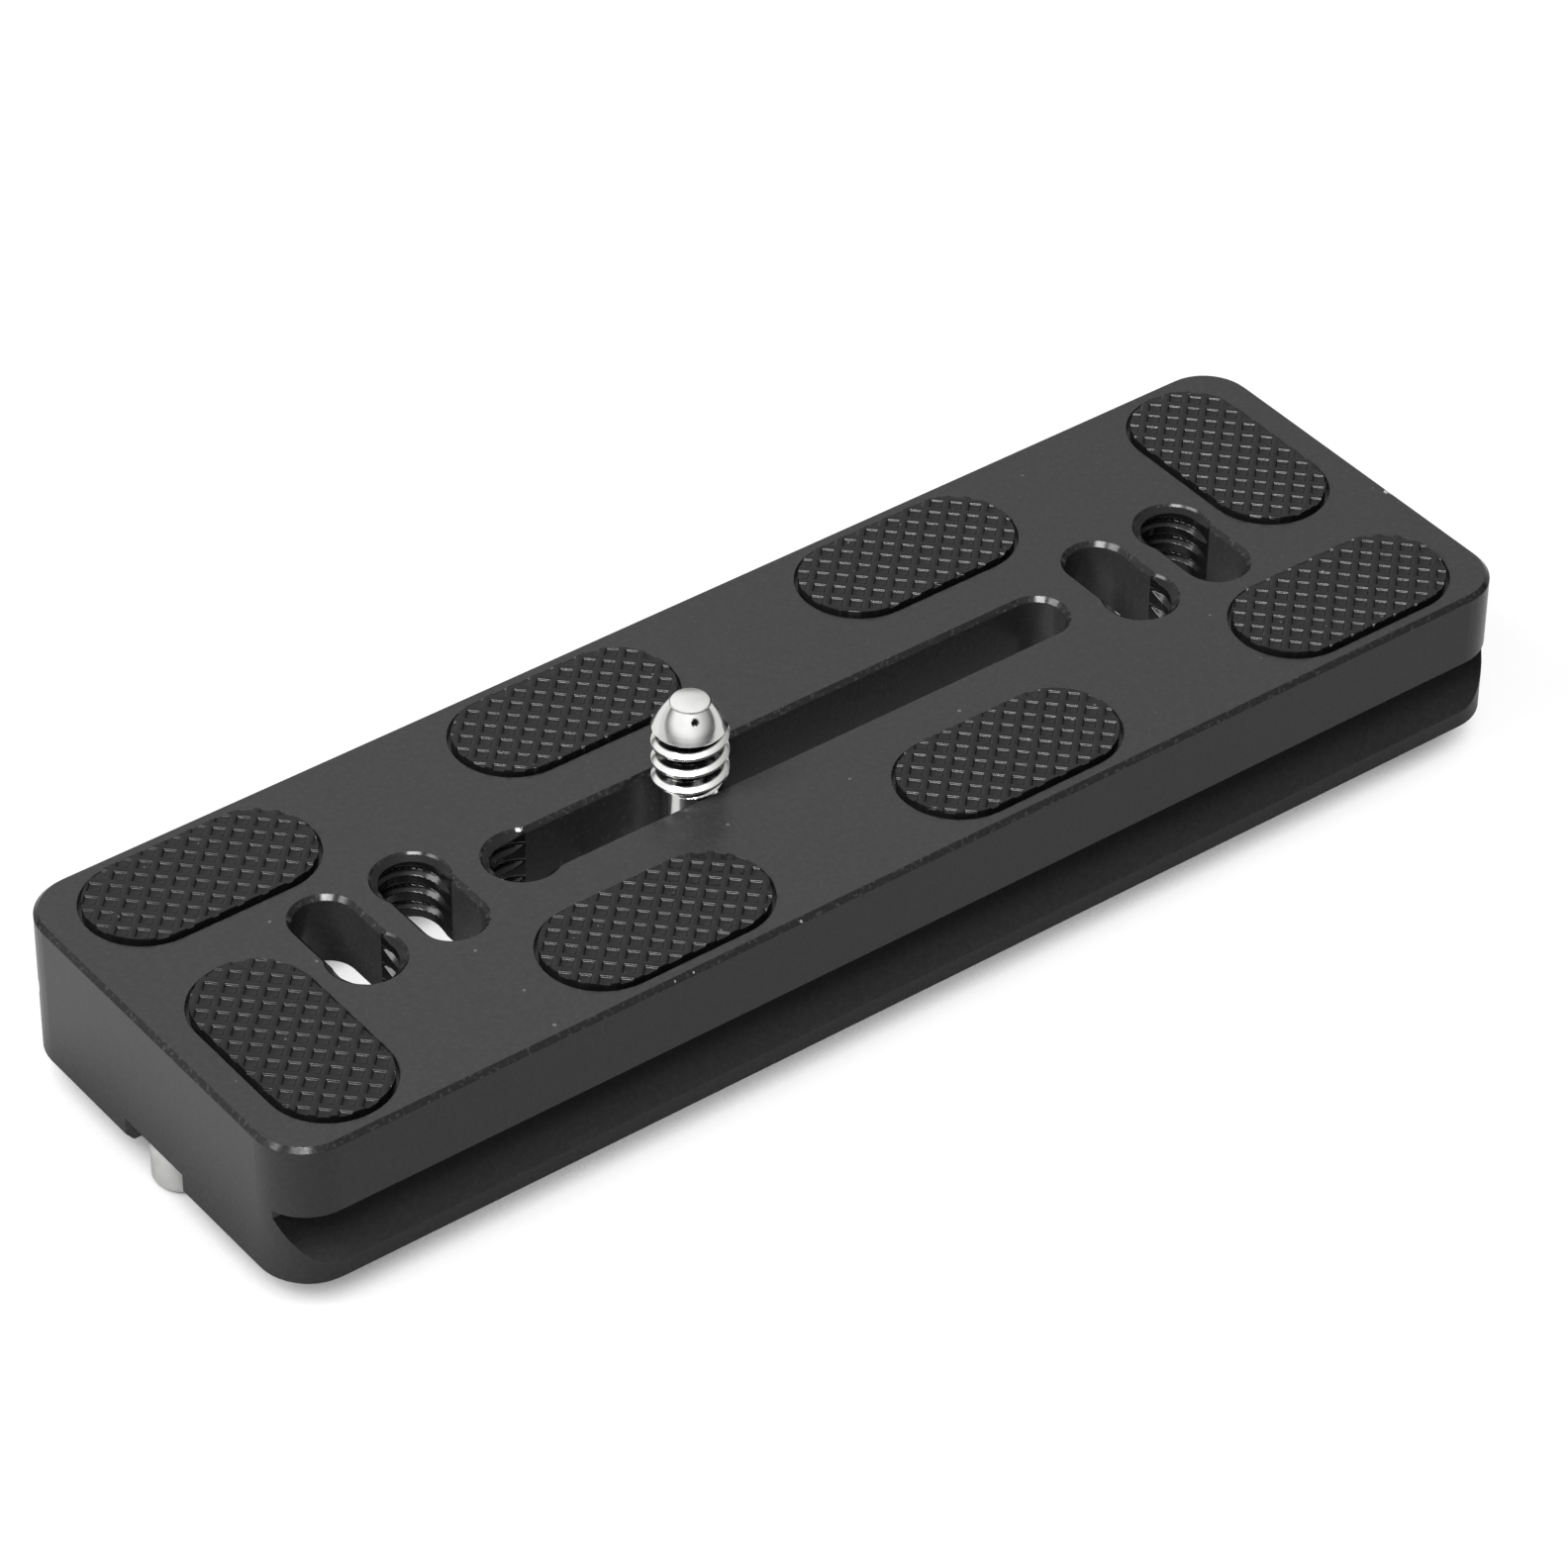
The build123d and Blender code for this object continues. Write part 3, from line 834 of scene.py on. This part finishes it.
def anodised_finish(name, colour, bare_colour, roughness, worn):
    """Black anodised aluminium: fine grain, mottling, milling marks on upright walls, and dust on top.

    Where worn is set, the faces are blasted, the chamfers are left as milled and the flanks get painted
    shade deeper in the groove, so chamfers and flanks differ. The edges are softened by a small radius and
    bruises along them show bare metal.
    """
    material, tree, shader, place = new_material(name)
    shader.inputs["IOR"].default_value = BLACK_IOR
    grain = use_group(tree, grain_group(), Place=place, Grain=8000.0, Mottle=2200.0)
    tone = ramp(tree, grain.outputs["Mottle"], *MOTTLE)
    colour = blend_colours(tree, tone, *[opaque(colour, share) for share in ANODISED_TONES])
    polish = [roughness + change for change in ANODISED_POLISH]
    rough = ramp(tree, grain.outputs["Mottle"], *MOTTLE, *polish)

    rise = split(tree, tree.nodes.new("ShaderNodeNewGeometry").outputs["True Normal"], "Z")
    slope = sums(tree, "ABSOLUTE", rise)
    stretched = vectors(tree, "MULTIPLY", place, MARKS_STRETCH)
    marks = put(tree, "ShaderNodeTexNoise", {"Vector": stretched, "Scale": 4500.0, "Detail": 2.0})
    upright = sums(tree, "MULTIPLY", sums(tree, "LESS_THAN", slope, UPRIGHT), MARKS_HEIGHT)
    height = sums(tree, "MULTIPLY", marks.outputs["Fac"], upright)
    height = sums(tree, "ADD", grain.outputs["Height"], height)
    bump = raise_surface(tree, shader, height, strength=0.25, distance=4e-6)

    dust = use_group(tree, specks_group(), Place=place, Cells=170.0, Size=0.028, Share=0.3)
    specks = sums(tree, "MULTIPLY", dust.outputs["Mask"], sums(tree, "GREATER_THAN", rise, LEVEL))
    specks = sums(tree, "MULTIPLY", specks, PLATE_DUST)
    colour = blend_colours(tree, specks, colour, grey(PLATE_DUST_GREY))
    if worn:
        noise = put(tree, "ShaderNodeTexNoise", {"Vector": place, "Scale": 3200.0, "Detail": 3.0})
        ragged = noise.outputs["Fac"]
        # Chamfers left as milled, and painted shade on the flanks deep in the groove
        colour, rough = milled_cuts_and_groove_shade(tree, place, slope, ragged, colour, rough)
        bare = bruise_mask(tree, place, ragged)
        colour = blend_colours(tree, bare, colour, opaque(bare_colour))
        feed(tree, shader, Metallic=bare)
        soft = put(tree, "ShaderNodeBevel", {"Radius": EDGE_R}, samples=4)
        tree.links.new(soft.outputs["Normal"], bump.inputs["Normal"])
    feed(tree, shader, Base_Color=colour, Roughness=rough)
    return material


def rubber_finish(colour):
    """Black rubber: fine grain, mottling, a little lighter dust in places and a satin surface."""
    material, tree, shader, place = new_material("grip_rubber")
    shader.inputs["IOR"].default_value = BLACK_IOR
    grain = use_group(tree, grain_group(), Place=place, Grain=5200.0, Mottle=900.0)
    tone = ramp(tree, grain.outputs["Mottle"], *RUBBER_MOTTLE)
    base = blend_colours(tree, tone, *[opaque(colour, share) for share in RUBBER_TONES])
    dust = use_group(tree, specks_group(), Place=place, Cells=420.0, Size=0.05, Share=0.2)
    specks = sums(tree, "MULTIPLY", dust.outputs["Mask"], RUBBER_DUST)
    base = blend_colours(tree, specks, base, grey(RUBBER_DUST_GREY))
    rough = ramp(tree, grain.outputs["Mottle"], *MOTTLE, *RUBBER_ROUGHNESS)
    feed(tree, shader, Base_Color=base, Roughness=rough)
    raise_surface(tree, shader, grain.outputs["Height"], strength=0.35, distance=2.4e-5)
    return material


def screw_dirt_and_root_shade(tree, place, local, grain, tone, base, screw, thread):
    """Colour of the camera screw with painted shade in its thread and a dark fleck.

    Black painted shade, broken into patches, lies where the distance from the axis is below the middle of
    the thread's depth, from the plate's top to the cone. A grey line follows the tip's rim, and a ragged
    ball about a point is a dark fleck.
    """
    reach = axis_distance(tree, local)
    high = split(tree, place, "Z")
    edges = [thread.radius - share * thread.depth for share in ROOT_SHADE_DEPTH]
    turns = between(tree, high, TOP_Z, SCREW_HIGH.z - UNSHADED_CONE * screw.cone)
    roots = sums(tree, "MULTIPLY", ramp(tree, reach, *edges, 1.0, 0.0), turns)
    # Painted shade in the thread's roots, in patches from the mottling
    root_shade = sums(tree, "MULTIPLY", roots, ramp(tree, grain.outputs["Mottle"], *ROOT_SHADE_PATCHES))
    base = blend_colours(tree, root_shade, base, grey(ROOT_SHADE_BLACK))
    off = sums(tree, "ABSOLUTE", sums(tree, "SUBTRACT", reach, screw.tip_radius))
    near_tip = sums(tree, "GREATER_THAN", high, SCREW_HIGH.z - TIP_LINE_DEPTH)
    line = sums(tree, "MULTIPLY", ramp(tree, off, *TIP_LINE, TIP_LINE_SHARE, 0.0), near_tip)
    base = blend_colours(tree, sums(tree, "MULTIPLY", line, tone), base, grey(TIP_LINE_GREY))
    gap = vectors(tree, "DISTANCE", place, FLECK_AT, out="Value")
    gap = sums(tree, "ADD", gap, sums(tree, "MULTIPLY", grain.outputs["Height"], FLECK_RAG))
    return blend_colours(tree, ramp(tree, gap, *FLECK_EDGE, 1.0, 0.0), base, grey(FLECK_BLACK))


def steel_finish(name, colour, roughness, centre, rings, screw=None, thread=None, metal=1.0):
    """Turned steel: fine rings about its axis and a slightly uneven polish.

    metal is less than 1 under a milky film. The camera screw, given with its thread, also gets painted shade
    in its thread roots and its dirt.
    """
    material, tree, shader, place = new_material(name)
    shader.inputs["Metallic"].default_value = metal
    grain = use_group(tree, grain_group(), Place=place, Grain=7000.0, Mottle=700.0)
    local = vectors(tree, "SUBTRACT", place, centre)
    marks = use_group(tree, turning_group(), Place=local, Rings=rings)
    tone = ramp(tree, grain.outputs["Mottle"], *MOTTLE)
    base = blend_colours(tree, tone, opaque(colour, STEEL_DARK), opaque(colour))
    if screw:
        # Painted shade in the thread's roots, a grey line round the tip and a dark fleck
        base = screw_dirt_and_root_shade(tree, place, local, grain, tone, base, screw, thread)
    polish = [roughness * share for share in STEEL_POLISH]
    rough = ramp(tree, grain.outputs["Mottle"], *MOTTLE, *polish)
    feed(tree, shader, Base_Color=base, Roughness=rough)
    raise_surface(tree, shader, marks.outputs["Height"], strength=0.25, distance=6e-6)
    return material


class PLATE_OT_finish_plate(bpy.types.Operator):
    """Gives the machined plate its black anodised finish."""

    bl_idname = "plate.finish_plate"
    bl_label = "Finish the plate"

    def execute(self, context):
        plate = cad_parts["plate_body"]
        finish = context.scene.plate_finish
        black = anodised_finish("black_anodised", finish.anodised, finish.bare, roughness=0.25, worn=True)
        plate.data.materials[0] = black
        return {"FINISHED"}


class PLATE_OT_build_pads(bpy.types.Operator):
    """Cuts the rubber grip pads from embossed sheet and lays them in their pockets."""

    bl_idname = "plate.build_pads"
    bl_label = "Build the grip pads"

    def execute(self, context):
        st = context.scene.plate_pads
        rubber = rubber_finish(st.colour)
        for number, node in enumerate(PAD_NODES):
            low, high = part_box(node)
            size = max(high.x - low.x, high.y - low.y)
            sheet = closed_mesh("sheet", *embossed_sheet(size, low.z, high.z, number, st))
            cutter = closed_mesh("cutter", *pad_cutter(low, high, number, st))
            mesh = combine(sheet, [cutter], "INTERSECT")
            mesh.name = node.replace("grip_pad", "dimpled_pad")
            middle = (low + high) / 2
            mesh.transform(Matrix.Translation((middle.x, middle.y, 0)))
            shade(mesh, PAD_EDGE)
            show(mesh, rubber, "plate", [node])
        return {"FINISHED"}


class PLATE_OT_build_screw(bpy.types.Operator):
    """Builds the captive camera screw with its thread, ring hole and coin slot."""

    bl_idname = "plate.build_screw"
    bl_label = "Build the camera screw"

    def execute(self, context):
        st = context.scene.plate_screw
        finish = context.scene.plate_finish
        thread = context.scene.plate_threads
        whole = closed_mesh("whole_screw", *screw_surface(thread, st))
        tools = [closed_mesh("hole", *ring_hole(st)), closed_mesh("slot", *coin_slot(st))]
        mesh = combine(whole, tools, "DIFFERENCE")
        mesh.name = "threaded_screw"
        shade(mesh, SCREW_EDGE)
        steel = steel_finish("bright_plated", finish.plated, roughness=0.14, centre=(SCREW_X, 0, 0),
                             rings=7000.0, screw=st, thread=thread)
        show(mesh, steel, "screw", ["camera_screw"])
        return {"FINISHED"}


class PLATE_OT_build_bore_threads(bpy.types.Operator):
    """Builds the thread in each tapped bore of the plate."""

    bl_idname = "plate.build_bore_threads"
    bl_label = "Build the bore threads"

    def execute(self, context):
        st = context.scene.plate_threads
        finish = context.scene.plate_finish
        # The bore threads get a darker copy of the black finish as painted shade
        black = anodised_finish("tapped_black", finish.tapped, finish.bare, roughness=0.17, worn=False)
        for name, x, y, facing, half_width in TAPPED_BORES:
            mesh = closed_mesh(f"thread_{name}", *bore_surface(x, y, facing, half_width, st))
            shade(mesh, BORE_EDGE)
            show(mesh, black, "plate")
        return {"FINISHED"}


class PLATE_OT_finish_hardware(bpy.types.Operator):
    """Gives the washer, the wire ring and the stop screws their steel finishes."""

    bl_idname = "plate.finish_hardware"
    bl_label = "Finish the hardware"

    def execute(self, context):
        finish = context.scene.plate_finish
        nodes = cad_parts
        axis = (SCREW_X, 0, 0)
        washer = steel_finish("washer", finish.zinc, roughness=0.3, centre=axis, rings=5000.0)
        nodes["screw_washer"].data.materials[0] = washer
        wire = steel_finish("ring_wire", finish.steel, roughness=0.24, centre=axis, rings=3000.0)
        nodes["d_ring"].data.materials[0] = wire
        for node in ("stop_screw_left", "stop_screw_right"):
            low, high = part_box(node)
            axis = ((low.x + high.x) / 2, 0, 0)
            satin = steel_finish(node, finish.plated, roughness=0.35, centre=axis, rings=5000.0, metal=0.5)
            nodes[node].data.materials[0] = satin
        return {"FINISHED"}


class PLATE_OT_set_stage(bpy.types.Operator):
    """Sets up the white floor, the lamps, the room and the camera."""

    bl_idname = "plate.set_stage"
    bl_label = "Set the stage"

    def execute(self, context):
        st = context.scene.plate_stage
        scene = context.scene
        mesh = bpy.data.meshes.new("studio_floor")
        points, faces = floor_surface(st.floor_radius)
        mesh.from_pydata(points.tolist(), [], faces)
        mesh.polygons.foreach_set("use_smooth", np.ones(len(mesh.polygons), bool))
        floor = bpy.data.objects.new("studio_floor", mesh)
        scene.collection.objects.link(floor)
        mesh.materials.append(self.floor_finish(st))
        for name, place, width, height, power in LAMPS:
            self.add_lamp(scene, name, place, width, height, getattr(st, power))
        scene.world = self.room(st)
        scene.camera = self.add_camera(scene, st)
        scene.view_settings.view_transform = "Standard"
        return {"FINISHED"}

    def add_lamp(self, scene, name, place, width, height, power):
        """Rectangular lamp that faces the plate."""
        data = bpy.data.lights.new(name, "AREA")
        data.shape = "RECTANGLE"
        data.size, data.size_y = width, height
        data.energy = power
        lamp = bpy.data.objects.new(name, data)
        lamp.location = place
        aim = np.array(LAMP_AIM) - np.array(place)
        yaw = math.atan2(aim[0], -aim[1])
        tilt = math.acos(-aim[2] / np.linalg.norm(aim))
        lamp.rotation_euler = Euler((tilt, 0, yaw + math.pi), "XYZ")
        lamp.visible_diffuse = name != GLOSS_LAMP
        scene.collection.objects.link(lamp)

    def add_camera(self, scene, st):
        """Camera at the photo's place, with a long lens."""
        camera = bpy.data.objects.new("camera", bpy.data.cameras.new("camera"))
        camera.data.sensor_width = SENSOR_W
        camera.data.lens = st.lens
        camera.data.clip_start = CAMERA_NEAR
        camera.location = CAMERA_AT
        camera.rotation_euler = Euler([math.radians(turn) for turn in CAMERA_TURN], "XYZ")
        scene.collection.objects.link(camera)
        return camera

    def room(self, st):
        """World that the camera sees white, and that metal mirrors dim at the horizon and on one side."""
        world = bpy.data.worlds.new("studio")
        world.use_nodes = True
        tree = world.node_tree
        path = tree.nodes.new("ShaderNodeLightPath")
        way = tree.nodes.new("ShaderNodeTexCoord").outputs["Generated"]
        side = vectors(tree, "DOT_PRODUCT", way, LIT_SIDE, out="Value")
        lit = ramp(tree, side, *SIDE_LIMITS, SIDE_DIM * st.mirrored, st.mirrored)
        high = ramp(tree, split(tree, way, "Z"), *HORIZON_LIMITS, HORIZON_DIM, 1.0)
        lit = sums(tree, "MULTIPLY", lit, high)
        level = sums(tree, "MAXIMUM", sums(tree, "MULTIPLY", path.outputs["Is Glossy Ray"], lit), st.world)
        level = sums(tree, "MAXIMUM", path.outputs["Is Camera Ray"], level)
        level = sums(tree, "MAXIMUM", path.outputs["Is Transmission Ray"], level)
        back = tree.nodes["Background"]
        back.inputs["Color"].default_value = grey(1.0)
        tree.links.new(level, back.inputs["Strength"])
        return world

    def floor_finish(self, st):
        """White floor as the camera and reflections see it, dim under the plate, with a greyer bounce."""
        material = bpy.data.materials.new("studio_floor")
        material.use_nodes = True
        tree = material.node_tree
        tree.nodes.clear()
        path = tree.nodes.new("ShaderNodeLightPath")
        camera = path.outputs["Is Camera Ray"]
        others = sums(tree, "SUBTRACT", 1.0, camera)
        free = put(tree, "ShaderNodeAmbientOcclusion", {"Distance": SHADE_REACH}, samples=6).outputs["AO"]
        seen_glow = ramp(tree, free, *SEEN_SHADE, 0.0, st.glow)
        mirrored_glow = ramp(tree, free, *MIRRORED_SHADE, 0.0, MIRRORED_GLOW * st.glow)
        strength = sums(tree, "ADD", sums(tree, "MULTIPLY", camera, seen_glow),
                        sums(tree, "MULTIPLY", others, mirrored_glow))
        glow = put(tree, "ShaderNodeEmission", {"Color": grey(1.0), "Strength": strength}).outputs[0]
        white = put(tree, "ShaderNodeBsdfDiffuse", {"Color": opaque(st.floor)}).outputs[0]
        both = put(tree, "ShaderNodeAddShader", {0: white, 1: glow}).outputs[0]
        bounce = put(tree, "ShaderNodeBsdfDiffuse", {"Color": opaque(st.bounce)}).outputs[0]
        seen = sums(tree, "MAXIMUM", camera, path.outputs["Is Glossy Ray"])
        seen = sums(tree, "MAXIMUM", seen, path.outputs["Is Transmission Ray"])
        mixed = put(tree, "ShaderNodeMixShader", {0: seen, 1: bounce, 2: both}).outputs[0]
        put(tree, "ShaderNodeOutputMaterial", {"Surface": mixed})
        return material


class PLATE_PT_sidebar(bpy.types.Panel):
    """Lists the steps that dress the plate, with their settings."""

    bl_idname = "PLATE_PT_sidebar"
    bl_label = "Quick release plate"
    bl_space_type = "VIEW_3D"
    bl_region_type = "UI"
    bl_category = "Plate"

    def draw(self, context):
        for step in STEPS:
            self.layout.operator(step.bl_idname)
        for name in SETTINGS:
            group = getattr(context.scene, name)
            for prop in group.__annotations__:
                self.layout.prop(group, prop)


STEPS = (
    PLATE_OT_finish_plate,
    PLATE_OT_build_pads,
    PLATE_OT_build_screw,
    PLATE_OT_build_bore_threads,
    PLATE_OT_finish_hardware,
    PLATE_OT_set_stage,
)
SETTINGS = {
    "plate_pads": PadSettings,
    "plate_threads": ThreadSettings,
    "plate_screw": ScrewSettings,
    "plate_finish": FinishSettings,
    "plate_stage": StageSettings,
}


def register():
    """Registers the settings, the steps and the panel."""
    for group in (*SETTINGS.values(), *STEPS, PLATE_PT_sidebar):
        bpy.utils.register_class(group)
    for name, group in SETTINGS.items():
        setattr(bpy.types.Scene, name, PointerProperty(type=group))


def unregister():
    """Takes the settings, the steps and the panel away again."""
    for name in SETTINGS:
        delattr(bpy.types.Scene, name)
    for group in reversed((*SETTINGS.values(), *STEPS, PLATE_PT_sidebar)):
        bpy.utils.unregister_class(group)


def main():
    """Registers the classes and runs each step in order."""
    register()
    for step in STEPS:
        family, name = step.bl_idname.split(".")
        getattr(getattr(bpy.ops, family), name)()


if __name__ == "__main__":
    main()
